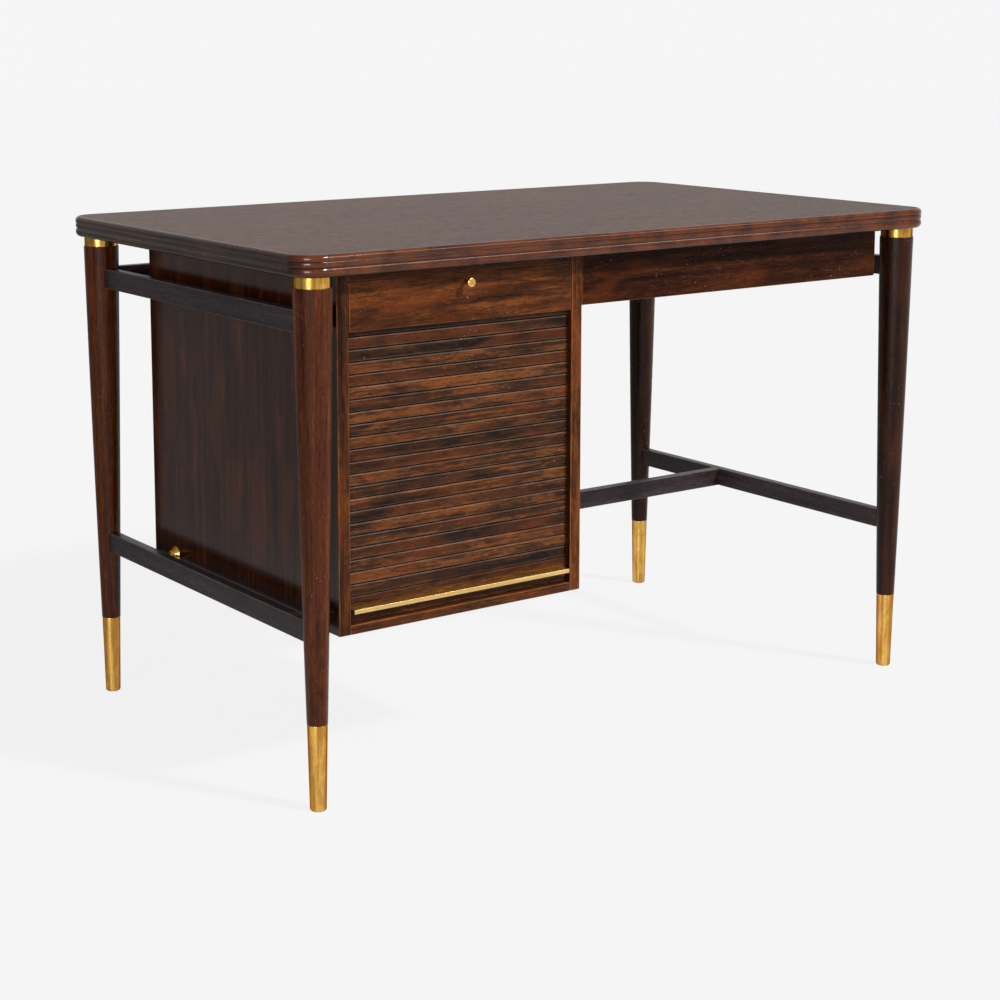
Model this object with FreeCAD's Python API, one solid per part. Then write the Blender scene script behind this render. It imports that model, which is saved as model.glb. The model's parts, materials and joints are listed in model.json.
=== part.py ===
import FreeCAD, Part
import math
import os

# Tambour desk on four turned legs: a pedestal with a drawer over a roll-up slatted shutter at the left,
# a shallow pencil drawer beside it, and flat rails let into the legs.
# Millimetres. The origin is on the floor under the middle of the desk: +X right, +Y back, +Z up.

# Desktop
DESK_W = 1160.0
DESK_D = 692.0
DESK_H = 750.0
TOP_T = 30.0
TOP_CORNER_R = 39.0
EDGE_ROUND = 5.0  # how far the rounded top and bottom of the edge draw in
REED_1_H = 9.5  # three reeds, one above the other, run along the edge; the third takes the rest
REED_2_H = 8.0
GROOVE_1_DEEP = 1.0
GROOVE_2_DEEP = 1.8
REED_2_BACK = 0.2  # crest of the middle reed behind the other two

# Legs, their brass collars and their brass ferrules
LEG_INSET = 38.0  # leg axis from the edge of the desktop
LEG_TOP_D = 52.6
LEG_MID_D = 42.0
LEG_MID_Z = 410.0
LEG_FOOT_D = 28.6
COLLAR_D = 50.0
COLLAR_H = 15.5
COLLAR_WALL = 3.0
FERRULE_H = 120.4
FERRULE_TOP_D = 27.6
FERRULE_FOOT_D = 22.6
FERRULE_WALL = 2.0
FERRULE_FLOOR = 6.0
FERRULE_ROUND = 3.0

# Rails and stretcher
RAIL_T = 15.0
RAIL_H = 30.0
RAIL_END = 10.0  # a rail stops this far from the leg's axis, inside its housing
UPPER_RAIL_DROP = 48.5  # underside of the desktop to the top of an upper rail
RAIL_BELOW_CASE = 4.5  # a lower rail hangs this far below the bottom of the pedestal
STRETCHER_Y = 93.0

# Turned brass spacers between the left rails and the pedestal
SPACER_GAP = 27.0
SPACER_RAIL_D = 12.0
SPACER_CASE_D = 26.0
SPACER_CURVE = 3.0
SPACER_FROM_FRONT = 61.0
SPACER_FROM_BACK = 66.0
SPACER_LIFT = 3.5  # axis of a lower spacer above the middle of its rail
SPACER_DROP = 4.0  # axis of an upper spacer below the middle of its rail

# Pedestal case
CASE_W = 408.0
CASE_D = 529.0
CASE_PROUD = 3.0  # front edge ahead of the axes of the front legs
SIDE_T = 18.0
BACK_T = 10.0
BOTTOM_T = 13.0
DUST_PANEL_T = 8.0
FRONT_RAIL_T = 12.5
FRONT_RAIL_D = 20.0

# Roll-up shutter
SLAT_COUNT = 22
SLAT_PITCH = 16.7
SLAT_T = 8.0
SLAT_GAP = 0.5
SLAT_ROUND = 1.8
LEAD_H = 36.0
SHUTTER_END_GAP = 0.8
TONGUE_T = 5.0
TONGUE_L = 5.2
GROOVE_CLEAR = 0.3
GROOVE_DEEP = 6.0
SHUTTER_HEADROOM = 7.3  # room for the top slat to rise before the curl takes it back down
SHUTTER_COVERED = 9.0  # the drawer front hides this much of the top slat

# Brass pull of the shutter: an angle with its lip turned down
PULL_DROP = 15.0  # top of the lead rail to the top of the pull
PULL_REACH = 12.0
PULL_LIP = 6.0
PULL_T = 2.2
PULL_KERF = 3.0
PULL_INSET = 3.0

# Drawers
FRONT_T = 18.0
BOX_T = 10.0
BOX_BOTTOM_T = 5.0
BOX_BOTTOM_UP = 4.0
DRAWER_LIP_T = 8.0
DRAWER_LIP_H = 17.5
LIP_CLEAR = 0.4
DRAWER_GAP = 1.2
DRAWER_FRONT_H = 66.4
DRAWER_BOX_DROP = 4.1  # top of the box below the top of its front
DRAWER_BACK_ROOM = 61.0
RUN_CLEAR = 0.3
SIDE_CLEAR = 1.5
KNOB_D = 13.0
KNOB_DISC_T = 3.4
KNOB_STEM_D = 5.0
KNOB_REACH = 18.0
KNOB_DROP = 12.0  # knob axis below the top edge of the drawer front

PENCIL_FRONT_H = 72.6
PENCIL_TOP_GAP = 2.0
PENCIL_LEFT_GAP = 2.5
PENCIL_RIGHT_GAP = 21.7  # to the widest part of the front right leg
PENCIL_SETBACK = 3.0
PENCIL_BOX_L = 330.0
PENCIL_BOX_DROP = 7.7  # top of the box below the desktop
RUNNER_WEB_T = 12.0
RUNNER_FOOT = 10.0
RUNNER_FOOT_T = 8.0
RUNNER_UP = 8.6  # foot of a runner above the lower edge of the drawer front
RUNNER_L = 350.0
RUNNER_SETBACK = 2.0  # behind the drawer front
RUNNER_END_INSET = 6.0  # right runner in from the end of the drawer front
PENCIL_SIDE_CLEAR = 0.6

# Places that follow from the sizes above
UNDERSIDE = DESK_H - TOP_T
LEG_X = DESK_W / 2 - LEG_INSET
LEG_Y = DESK_D / 2 - LEG_INSET
COLLAR_Z = UNDERSIDE - COLLAR_H
SPIGOT_D = COLLAR_D - 2 * COLLAR_WALL
UPPER_RAIL_Z = UNDERSIDE - UPPER_RAIL_DROP - RAIL_H
CASE_LEFT = -LEG_X + RAIL_T / 2 + SPACER_GAP
CASE_RIGHT = CASE_LEFT + CASE_W
CASE_FRONT = -LEG_Y - CASE_PROUD
CASE_BACK = CASE_FRONT + CASE_D
INNER_LEFT = CASE_LEFT + SIDE_T
INNER_RIGHT = CASE_RIGHT - SIDE_T
INNER_BACK = CASE_BACK - BACK_T
SLAT_FRONT = CASE_FRONT + DRAWER_LIP_T + LIP_CLEAR
SLAT_BACK = SLAT_FRONT + SLAT_T
FRONT_RAIL_Z = UNDERSIDE - FRONT_RAIL_T
DRAWER_TOP = FRONT_RAIL_Z - LIP_CLEAR
DRAWER_Z = DRAWER_TOP - DRAWER_FRONT_H
DRAWER_BACK_FACE = CASE_FRONT + FRONT_T
SHUTTER_TOP = DRAWER_Z + SHUTTER_COVERED
SLATS_Z = SHUTTER_TOP - SLAT_COUNT * SLAT_PITCH
LEAD_Z = SLATS_Z - LEAD_H
CASE_FLOOR = LEAD_Z - RUN_CLEAR
CASE_Z = CASE_FLOOR - BOTTOM_T
LOWER_RAIL_Z = CASE_Z - RAIL_BELOW_CASE
DUST_PANEL_Z = SHUTTER_TOP + SHUTTER_HEADROOM
DRAWER_BOX_Z = DUST_PANEL_Z + DUST_PANEL_T + RUN_CLEAR
PENCIL_LEFT = CASE_RIGHT + PENCIL_LEFT_GAP
PENCIL_RIGHT = LEG_X - LEG_TOP_D / 2 - PENCIL_RIGHT_GAP
PENCIL_FRONT = CASE_FRONT + PENCIL_SETBACK
PENCIL_BACK_FACE = PENCIL_FRONT + FRONT_T
PENCIL_Z = UNDERSIDE - PENCIL_TOP_GAP - PENCIL_FRONT_H
RUNNER_Z = PENCIL_Z + RUNNER_UP
RUNNER_RIGHT = PENCIL_RIGHT - RUNNER_END_INSET

os.makedirs("parts", exist_ok=True)


def save(name, shape):
    shape.exportStep("parts/" + name + ".step")


def box(x0, x1, y0, y1, z0, z1):
    """A rectangular board between two corners."""
    return Part.makeBox(x1 - x0, y1 - y0, z1 - z0, FreeCAD.Vector(x0, y0, z0))


def turned(profile):
    """A solid turned about the Z axis from (radius, z) points; four numbers are an arc's middle and end."""
    edges = []
    last = profile[0]
    for step in profile[1:]:
        start = FreeCAD.Vector(last[0], 0, last[1])
        if len(step) == 4:
            middle = FreeCAD.Vector(step[0], 0, step[1])
            end = FreeCAD.Vector(step[2], 0, step[3])
            edges.append(Part.Arc(start, middle, end).toShape())
            last = (step[2], step[3])
        else:
            edges.append(Part.makeLine(start, FreeCAD.Vector(step[0], 0, step[1])))
            last = step
    first = FreeCAD.Vector(profile[0][0], 0, profile[0][1])
    edges.append(Part.makeLine(FreeCAD.Vector(last[0], 0, last[1]), first))
    face = Part.Face(Part.Wire(edges))
    solid = face.revolve(FreeCAD.Vector(0, 0, 0), FreeCAD.Vector(0, 0, 1), 360)
    return Part.makeSolid(solid) if solid.ShapeType == "Shell" else solid


def moved(shape, x, y, z):
    """A copy of the shape at a new place."""
    copy = shape.copy()
    copy.translate(FreeCAD.Vector(x, y, z))
    return copy


# Desktop: a slab with round corners whose edge is worked in three shallow reeds


def crest_drop(top_in, low_in, high):
    """How far the crest of a reed lies below its top, for ends that draw in by top_in and low_in."""
    chord = high ** 2 + (top_in - low_in) ** 2
    return (top_in * high - math.sqrt(top_in * low_in * chord)) / (top_in - low_in)


def edge_profile():
    """Section of the edge strip in the XZ plane, with x = 0 at its outermost crest."""
    groove_1_z = DESK_H - REED_1_H
    groove_2_z = groove_1_z - REED_2_H
    hollows = [
        (-EDGE_ROUND, DESK_H),
        (-GROOVE_1_DEEP, groove_1_z),
        (-GROOVE_2_DEEP, groove_2_z),
        (-EDGE_ROUND, UNDERSIDE),
    ]
    crests = (0, -REED_2_BACK, 0)
    edges = []
    for reed, crest in enumerate(crests):
        top_x, top_z = hollows[reed]
        low_x, low_z = hollows[reed + 1]
        start = FreeCAD.Vector(top_x, 0, top_z)
        middle = FreeCAD.Vector(crest, 0, top_z - crest_drop(crest - top_x, crest - low_x, top_z - low_z))
        edges.append(Part.Arc(start, middle, FreeCAD.Vector(low_x, 0, low_z)).toShape())
    inner = -TOP_CORNER_R
    low_out = FreeCAD.Vector(-EDGE_ROUND, 0, UNDERSIDE)
    low_in = FreeCAD.Vector(inner, 0, UNDERSIDE)
    high_in = FreeCAD.Vector(inner, 0, DESK_H)
    high_out = FreeCAD.Vector(-EDGE_ROUND, 0, DESK_H)
    edges.append(Part.makeLine(low_out, low_in))
    edges.append(Part.makeLine(low_in, high_in))
    edges.append(Part.makeLine(high_in, high_out))
    return Part.Face(Part.Wire(edges))


def desktop():
    core_w = DESK_W - 2 * TOP_CORNER_R
    core_d = DESK_D - 2 * TOP_CORNER_R
    slab = box(-core_w / 2, core_w / 2, -core_d / 2, core_d / 2, UNDERSIDE, DESK_H)
    strip = edge_profile()
    pieces = []
    for quarter in range(4):
        along = core_d if quarter % 2 == 0 else core_w
        out = core_w / 2 if quarter % 2 == 0 else core_d / 2
        side = moved(strip, out + TOP_CORNER_R, -along / 2, 0).extrude(FreeCAD.Vector(0, along, 0))
        corner = moved(strip, TOP_CORNER_R, 0, 0)
        corner = corner.revolve(FreeCAD.Vector(0, 0, 0), FreeCAD.Vector(0, 0, 1), 90)
        corner = moved(corner, out, along / 2, 0)
        for piece in (side, corner):
            piece.rotate(FreeCAD.Vector(0, 0, 0), FreeCAD.Vector(0, 0, 1), 90 * quarter)
            pieces.append(piece)
    return slab.multiFuse(pieces).removeSplitter()


save("desktop", desktop())


# Rails: flat bars housed in the legs


def side_rail(side, low):
    """A bar from front leg to back leg; side is -1 for the left and 1 for the right."""
    x = side * LEG_X
    end = LEG_Y - RAIL_END
    return box(x - RAIL_T / 2, x + RAIL_T / 2, -end, end, low, low + RAIL_H)


back_rail_end = LEG_X - RAIL_END
rails = {
    "side_rail_upper_left": side_rail(-1, UPPER_RAIL_Z),
    "side_rail_upper_right": side_rail(1, UPPER_RAIL_Z),
    "side_rail_lower_left": side_rail(-1, LOWER_RAIL_Z),
    "side_rail_lower_right": side_rail(1, LOWER_RAIL_Z),
    "back_rail": box(
        -back_rail_end, back_rail_end,
        LEG_Y - RAIL_T / 2, LEG_Y + RAIL_T / 2,
        UPPER_RAIL_Z, UPPER_RAIL_Z + RAIL_H,
    ),
}
for name, rail in rails.items():
    save(name, rail)

save("stretcher", box(
    CASE_RIGHT, LEG_X - RAIL_T / 2,
    STRETCHER_Y - RAIL_T / 2, STRETCHER_Y + RAIL_T / 2,
    LOWER_RAIL_Z, LOWER_RAIL_Z + RAIL_H,
))


# Legs: turned, tapering with a slight swell, with a spigot for the collar and a tip for the ferrule

BORE_TOP_R = FERRULE_TOP_D / 2 - FERRULE_WALL
BORE_FOOT_R = FERRULE_FOOT_D / 2 - FERRULE_WALL


def leg_blank():
    return turned([
        (0, FERRULE_FLOOR),
        (BORE_FOOT_R, FERRULE_FLOOR),
        (BORE_TOP_R, FERRULE_H),
        (LEG_FOOT_D / 2, FERRULE_H),
        (LEG_MID_D / 2, LEG_MID_Z, LEG_TOP_D / 2, COLLAR_Z),
        (SPIGOT_D / 2, COLLAR_Z),
        (SPIGOT_D / 2, UNDERSIDE),
        (0, UNDERSIDE),
    ])


def collar():
    return turned([
        (SPIGOT_D / 2, COLLAR_Z),
        (COLLAR_D / 2, COLLAR_Z),
        (COLLAR_D / 2, UNDERSIDE),
        (SPIGOT_D / 2, UNDERSIDE),
    ])


def ferrule():
    foot_r = FERRULE_FOOT_D / 2
    turn = FERRULE_ROUND * math.sqrt(0.5)
    return turned([
        (0, 0),
        (foot_r - FERRULE_ROUND, 0),
        (foot_r - FERRULE_ROUND + turn, FERRULE_ROUND - turn, foot_r, FERRULE_ROUND),
        (FERRULE_TOP_D / 2, FERRULE_H),
        (BORE_TOP_R, FERRULE_H),
        (BORE_FOOT_R, FERRULE_FLOOR),
        (0, FERRULE_FLOOR),
    ])


corners = {
    "front_left": (-LEG_X, -LEG_Y),
    "front_right": (LEG_X, -LEG_Y),
    "back_left": (-LEG_X, LEG_Y),
    "back_right": (LEG_X, LEG_Y),
}
rings = []
for place, (x, y) in corners.items():
    leg = moved(leg_blank(), x, y, 0)
    for rail in rails.values():
        if leg.BoundBox.intersect(rail.BoundBox):
            leg = leg.cut(rail)
    save("leg_" + place, leg)
    save("ferrule_" + place, moved(ferrule(), x, y, 0))
    rings.append(moved(collar(), x, y, 0))
save("leg_collars", Part.makeCompound(rings))


# Spacers: brass trumpets that hold the pedestal off the left rails


def spacer(y, z):
    """Axis along X, the small end on the rail and the flare on the pedestal."""
    rail_r = SPACER_RAIL_D / 2
    case_r = SPACER_CASE_D / 2
    trumpet = turned([
        (0, 0),
        (rail_r, 0),
        ((rail_r + case_r) / 2 - SPACER_CURVE, SPACER_GAP / 2 + SPACER_CURVE, case_r, SPACER_GAP),
        (0, SPACER_GAP),
    ])
    trumpet.rotate(FreeCAD.Vector(0, 0, 0), FreeCAD.Vector(0, 1, 0), 90)
    return moved(trumpet, CASE_LEFT - SPACER_GAP, y, z)


spacers = []
for axis_z in (UPPER_RAIL_Z + RAIL_H / 2 - SPACER_DROP, LOWER_RAIL_Z + RAIL_H / 2 + SPACER_LIFT):
    for y in (CASE_FRONT + SPACER_FROM_FRONT, CASE_BACK - SPACER_FROM_BACK):
        spacers.append(spacer(y, axis_z))
save("brass_spacers", Part.makeCompound(spacers))


# Pedestal case


def pedestal_side(outer, inner):
    """A side with the groove that the shutter's lead rail runs in; inner is the face with the groove."""
    side = box(min(outer, inner), max(outer, inner), CASE_FRONT, CASE_BACK, CASE_Z, UNDERSIDE)
    inward = 1 if inner > outer else -1
    groove_floor = inner - inward * GROOVE_DEEP
    middle = (SLAT_FRONT + SLAT_BACK) / 2
    half = TONGUE_T / 2 + GROOVE_CLEAR
    groove = box(
        min(groove_floor, inner), max(groove_floor, inner),
        middle - half, middle + half,
        CASE_FLOOR, DRAWER_Z,
    )
    return side.cut(groove)


save("pedestal_side_left", pedestal_side(CASE_LEFT, INNER_LEFT))
save("pedestal_side_right", pedestal_side(CASE_RIGHT, INNER_RIGHT))
save("pedestal_back", box(
    INNER_LEFT, INNER_RIGHT, INNER_BACK, CASE_BACK, CASE_Z, UNDERSIDE
))
save("pedestal_bottom", box(
    INNER_LEFT, INNER_RIGHT, CASE_FRONT, INNER_BACK, CASE_Z, CASE_FLOOR
))
save("pedestal_front_rail", box(
    INNER_LEFT, INNER_RIGHT, CASE_FRONT, CASE_FRONT + FRONT_RAIL_D, FRONT_RAIL_Z, UNDERSIDE
))
save("dust_panel", box(
    INNER_LEFT, INNER_RIGHT,
    DRAWER_BACK_FACE + LIP_CLEAR, INNER_BACK,
    DUST_PANEL_Z, DUST_PANEL_Z + DUST_PANEL_T,
))


# Shutter: a lead rail that slides in the grooves, and slats hinged one on the next by their cloth backing

SHUTTER_LEFT = INNER_LEFT + SHUTTER_END_GAP
SHUTTER_RIGHT = INNER_RIGHT - SHUTTER_END_GAP


def slat(low, high):
    """A strip with its two front edges rounded."""
    soft = SLAT_ROUND * (1 - math.sqrt(0.5))
    front = SLAT_FRONT
    x = SHUTTER_LEFT

    def at(y, z):
        return FreeCAD.Vector(x, y, z)

    outline = Part.Wire([
        Part.makeLine(at(SLAT_BACK, high), at(SLAT_BACK, low)),
        Part.makeLine(at(SLAT_BACK, low), at(front + SLAT_ROUND, low)),
        Part.Arc(
            at(front + SLAT_ROUND, low), at(front + soft, low + soft), at(front, low + SLAT_ROUND)
        ).toShape(),
        Part.makeLine(at(front, low + SLAT_ROUND), at(front, high - SLAT_ROUND)),
        Part.Arc(
            at(front, high - SLAT_ROUND), at(front + soft, high - soft), at(front + SLAT_ROUND, high)
        ).toShape(),
        Part.makeLine(at(front + SLAT_ROUND, high), at(SLAT_BACK, high)),
    ])
    return Part.Face(outline).extrude(FreeCAD.Vector(SHUTTER_RIGHT - SHUTTER_LEFT, 0, 0))


def pull():
    top = SLATS_Z - PULL_DROP
    left = SHUTTER_LEFT + PULL_INSET
    right = SHUTTER_RIGHT - PULL_INSET
    nose = SLAT_FRONT - PULL_REACH
    web = box(left, right, nose, SLAT_FRONT + PULL_KERF, top - PULL_T, top)
    lip = box(left, right, nose, nose + PULL_T, top - PULL_LIP, top)
    return web.fuse(lip).removeSplitter()


def lead_rail():
    high = SLATS_Z - SLAT_GAP / 2
    middle = (SLAT_FRONT + SLAT_BACK) / 2
    tongue = box(
        SHUTTER_LEFT - TONGUE_L - SHUTTER_END_GAP, SHUTTER_RIGHT + TONGUE_L + SHUTTER_END_GAP,
        middle - TONGUE_T / 2, middle + TONGUE_T / 2,
        LEAD_Z, high,
    )
    return slat(LEAD_Z, high).fuse(tongue).removeSplitter().cut(pull())


save("tambour_lead_rail", lead_rail())
save("tambour_pull", pull())
for number in range(1, SLAT_COUNT + 1):
    low = SLATS_Z + (number - 1) * SLAT_PITCH + SLAT_GAP / 2
    save("tambour_slat_%02d" % number, slat(low, low + SLAT_PITCH - SLAT_GAP))


# Drawer boxes: two sides, a back and a bottom behind the front


def drawer_box(prefix, left, right, front, back, low, high):
    floor = low + BOX_BOTTOM_UP
    save(prefix + "_side_left", box(left, left + BOX_T, front, back, low, high))
    save(prefix + "_side_right", box(right - BOX_T, right, front, back, low, high))
    save(prefix + "_back", box(left + BOX_T, right - BOX_T, back - BOX_T, back, low, high))
    save(prefix + "_bottom", box(
        left + BOX_T, right - BOX_T, front, back - BOX_T, floor, floor + BOX_BOTTOM_T
    ))


# Pedestal drawer: the back of its front is cut away below, so that the shutter can rise behind the lip

drawer_front = box(
    INNER_LEFT + DRAWER_GAP, INNER_RIGHT - DRAWER_GAP, CASE_FRONT, DRAWER_BACK_FACE, DRAWER_Z, DRAWER_TOP
)
save("drawer_front", drawer_front.cut(box(
    INNER_LEFT, INNER_RIGHT,
    CASE_FRONT + DRAWER_LIP_T, DRAWER_BACK_FACE,
    DRAWER_Z, DRAWER_Z + DRAWER_LIP_H,
)))
drawer_box(
    "drawer", INNER_LEFT + SIDE_CLEAR, INNER_RIGHT - SIDE_CLEAR,
    DRAWER_BACK_FACE, INNER_BACK - DRAWER_BACK_ROOM, DRAWER_BOX_Z, DRAWER_TOP - DRAWER_BOX_DROP,
)


def knob():
    """A slim stem that spreads into a flat button."""
    disc_r = KNOB_D / 2
    stem_r = KNOB_STEM_D / 2
    neck = KNOB_REACH - KNOB_DISC_T
    half = KNOB_DISC_T / 2
    turn = half * math.sqrt(0.5)
    shape = turned([
        (0, 0),
        (stem_r, 0),
        (stem_r, neck),
        (disc_r - half, neck),
        (disc_r - half + turn, neck + half - turn, disc_r, neck + half),
        (disc_r - half + turn, neck + half + turn, disc_r - half, KNOB_REACH),
        (0, KNOB_REACH),
    ])
    shape.rotate(FreeCAD.Vector(0, 0, 0), FreeCAD.Vector(1, 0, 0), 90)
    return moved(shape, (INNER_LEFT + INNER_RIGHT) / 2, CASE_FRONT, DRAWER_TOP - KNOB_DROP)


save("drawer_knob", knob())


# Pencil drawer, hung from the desktop on two L-shaped runners

save("pencil_drawer_front", box(
    PENCIL_LEFT, PENCIL_RIGHT, PENCIL_FRONT, PENCIL_BACK_FACE, PENCIL_Z, PENCIL_Z + PENCIL_FRONT_H
))
web_left = CASE_RIGHT + RUNNER_WEB_T
web_right = RUNNER_RIGHT - RUNNER_WEB_T
drawer_box(
    "pencil_drawer", web_left + PENCIL_SIDE_CLEAR, web_right - PENCIL_SIDE_CLEAR,
    PENCIL_BACK_FACE, PENCIL_BACK_FACE + PENCIL_BOX_L,
    RUNNER_Z + RUNNER_FOOT_T + RUN_CLEAR, UNDERSIDE - PENCIL_BOX_DROP,
)


def runner(x_outer, x_web, x_foot):
    """An L-shaped strip: a web up to the desktop and a foot under the drawer side."""
    front = PENCIL_BACK_FACE + RUNNER_SETBACK
    back = front + RUNNER_L
    web = box(min(x_outer, x_web), max(x_outer, x_web), front, back, RUNNER_Z, UNDERSIDE)
    foot = box(min(x_web, x_foot), max(x_web, x_foot), front, back, RUNNER_Z, RUNNER_Z + RUNNER_FOOT_T)
    return web.fuse(foot).removeSplitter()


save("pencil_runner_left", runner(CASE_RIGHT, web_left, web_left + RUNNER_FOOT))
save("pencil_runner_right", runner(RUNNER_RIGHT, web_right, web_right - RUNNER_FOOT))
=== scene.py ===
import json
import math

import bmesh
import bpy
from mathutils import Matrix, Vector


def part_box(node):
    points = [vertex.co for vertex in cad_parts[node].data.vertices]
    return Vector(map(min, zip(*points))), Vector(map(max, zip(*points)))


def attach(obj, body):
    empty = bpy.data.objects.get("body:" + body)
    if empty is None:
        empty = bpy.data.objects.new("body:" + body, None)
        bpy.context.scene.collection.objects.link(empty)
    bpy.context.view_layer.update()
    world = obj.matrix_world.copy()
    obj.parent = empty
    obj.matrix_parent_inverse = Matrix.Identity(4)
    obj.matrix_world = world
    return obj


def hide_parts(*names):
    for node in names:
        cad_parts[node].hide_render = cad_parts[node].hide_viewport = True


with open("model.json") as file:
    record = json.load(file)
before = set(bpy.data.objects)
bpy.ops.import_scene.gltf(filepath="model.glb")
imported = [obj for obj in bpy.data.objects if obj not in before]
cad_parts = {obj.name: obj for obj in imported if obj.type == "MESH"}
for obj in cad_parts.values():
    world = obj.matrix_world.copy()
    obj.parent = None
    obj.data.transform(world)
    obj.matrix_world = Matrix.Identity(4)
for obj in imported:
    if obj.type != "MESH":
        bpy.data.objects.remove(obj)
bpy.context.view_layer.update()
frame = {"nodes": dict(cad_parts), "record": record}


# Legs: four tapering posts turned from close-grained hardwood, stained dark and lacquered.
# The rails are let into them, and each stands in a brass ferrule under a brass collar.

LEG_EASE = 0.0004
EASE_STEPS = 2
SHARP_ANGLE = math.radians(35)
FLAT_ANGLE = math.radians(0.2)
MERGE = 1e-6
FLATS_WEIGHT = 80
FRONT_FACING = -0.5

body_of = {}
for body, members in frame["record"]["behaviour"]["bodies"].items():
    for member in members:
        body_of[member] = body


def stain(red, green, blue):
    """A colour given as 0 to 255 on a screen, in the renderer's linear values."""
    return tuple((level / 255) ** 2.2 for level in (red, green, blue)) + (1.0,)


def add(tree, kind, sockets=None, **settings):
    """A node in a tree. A socket's value is a number, a colour or another node's output."""
    made = tree.nodes.new(kind)
    for setting, value in settings.items():
        setattr(made, setting, value)
    for socket, value in (sockets or {}).items():
        if isinstance(value, bpy.types.NodeSocket):
            tree.links.new(value, made.inputs[socket])
        else:
            made.inputs[socket].default_value = value
    return made


def reckon(tree, operation, *values, **settings):
    """The result of one sum."""
    return add(tree, "ShaderNodeMath", dict(enumerate(values)), operation=operation, **settings).outputs[0]


def vector(tree, x, y, z):
    """Three values as one vector."""
    return add(tree, "ShaderNodeCombineXYZ", {0: x, 1: y, 2: z}).outputs[0]


def ramp(tree, value, low, high, start=0.0, end=1.0):
    """A smooth rise from start to end as value goes from low to high."""
    sockets = {0: value, 1: low, 2: high, 3: start, 4: end}
    return add(tree, "ShaderNodeMapRange", sockets, interpolation_type="SMOOTHSTEP").outputs[0]


def tint(tree, share, first, second):
    """Two colours blended by share."""
    sockets = {0: share, 6: first, 7: second}
    return add(tree, "ShaderNodeMix", sockets, data_type="RGBA").outputs[2]


def streaks(tree, place, along, across, detail, roughness=0.6, distortion=0.0):
    """Noise drawn out along X: along and across are its features to the metre."""
    pull = vector(tree, along, across, across)
    drawn = add(tree, "ShaderNodeVectorMath", {0: place, 1: pull}, operation="MULTIPLY")
    sockets = {
        "Vector": drawn.outputs[0], "Scale": 1.0, "Detail": detail,
        "Roughness": roughness, "Distortion": distortion,
    }
    return add(tree, "ShaderNodeTexNoise", sockets).outputs[0]


def new_group(name, inputs, outputs):
    """An empty shader group with named sockets, and its input and output nodes."""
    group = bpy.data.node_groups.new(name, "ShaderNodeTree")
    for label, kind, value in inputs:
        socket = group.interface.new_socket(label, in_out="INPUT", socket_type="NodeSocket" + kind)
        if value is not None:
            socket.default_value = value
    for label, kind in outputs:
        group.interface.new_socket(label, in_out="OUTPUT", socket_type="NodeSocket" + kind)
    return group, group.nodes.new("NodeGroupInput").outputs, group.nodes.new("NodeGroupOutput").inputs


BOARD_SHIFT = (0.71, 1.37, 2.11)
FIBRES_ACROSS = 460.0
PATCHES_ACROSS = 44.0
PORES_ACROSS = 760.0


def stained_grain():
    """Grain of stained hardwood that runs along X: colour bands, fibres, patches of figure and open pores.
    Run and Bands are the bands' features to the metre, along the grain and across it."""
    group, given, put = new_group(
        "stained_grain",
        [
            ("Place", "Vector", None), ("Board", "Float", 0.0),
            ("Dark", "Color", stain(30, 15, 10)), ("Middle", "Color", stain(70, 40, 26)),
            ("Light", "Color", stain(110, 64, 38)), ("Warm", "Color", stain(150, 60, 30)),
            ("Run", "Float", 4.0), ("Bands", "Float", 40.0), ("Figure", "Float", 0.3),
            ("Fibres", "Float", 0.6), ("Pores", "Float", 0.5), ("Warmth", "Float", 0.2),
            ("Mixed boards", "Float", 0.1),
        ],
        [("Color", "Color"), ("Height", "Float"), ("Dullness", "Float")],
    )

    def along(times):
        """Features to the metre along the grain, as a multiple of Run."""
        return reckon(group, "MULTIPLY", given["Run"], times)

    def stray(value, amount):
        """How far a noise strays from its middle, by the group's amount of it."""
        return reckon(group, "MULTIPLY", reckon(group, "SUBTRACT", value, 0.5), given[amount])

    shift = vector(group, *(reckon(group, "MULTIPLY", given["Board"], step) for step in BOARD_SHIFT))
    place = add(group, "ShaderNodeVectorMath", {0: given["Place"], 1: shift}, operation="ADD").outputs[0]
    bands = streaks(group, place, given["Run"], given["Bands"], 8.0, 0.66, 0.3)
    fibres = streaks(group, place, along(14.0), FIBRES_ACROSS, 4.0, 0.75)
    patches = streaks(group, place, along(4.0), PATCHES_ACROSS, 3.0, 0.6, 0.6)
    pores = ramp(group, streaks(group, place, along(36.0), PORES_ACROSS, 1.0), 0.56, 0.68)
    chance = add(group, "ShaderNodeTexWhiteNoise", {"W": given["Board"]}, noise_dimensions="1D")

    lot = stray(chance.outputs["Value"], "Mixed boards")
    drawn = reckon(group, "ADD", stray(patches, "Figure"), stray(fibres, "Fibres"))
    tone = reckon(group, "ADD", reckon(group, "ADD", bands, lot), drawn)
    lower = tint(group, ramp(group, tone, 0.28, 0.50), given["Dark"], given["Middle"])
    upper = tint(group, ramp(group, tone, 0.50, 0.74), lower, given["Light"])
    glow = ramp(group, streaks(group, place, 7.0, 26.0, 2.0, 0.5, 0.6), 0.48, 0.66)
    colour = tint(group, reckon(group, "MULTIPLY", glow, given["Warmth"]), upper, given["Warm"])
    open_pores = reckon(group, "MULTIPLY", pores, given["Pores"])
    links = group.links
    links.new(tint(group, open_pores, colour, given["Dark"]), put["Color"])
    links.new(reckon(group, "SUBTRACT", fibres, open_pores), put["Height"])
    links.new(reckon(group, "MULTIPLY_ADD", bands, 0.5, open_pores), put["Dullness"])
    return group


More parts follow.
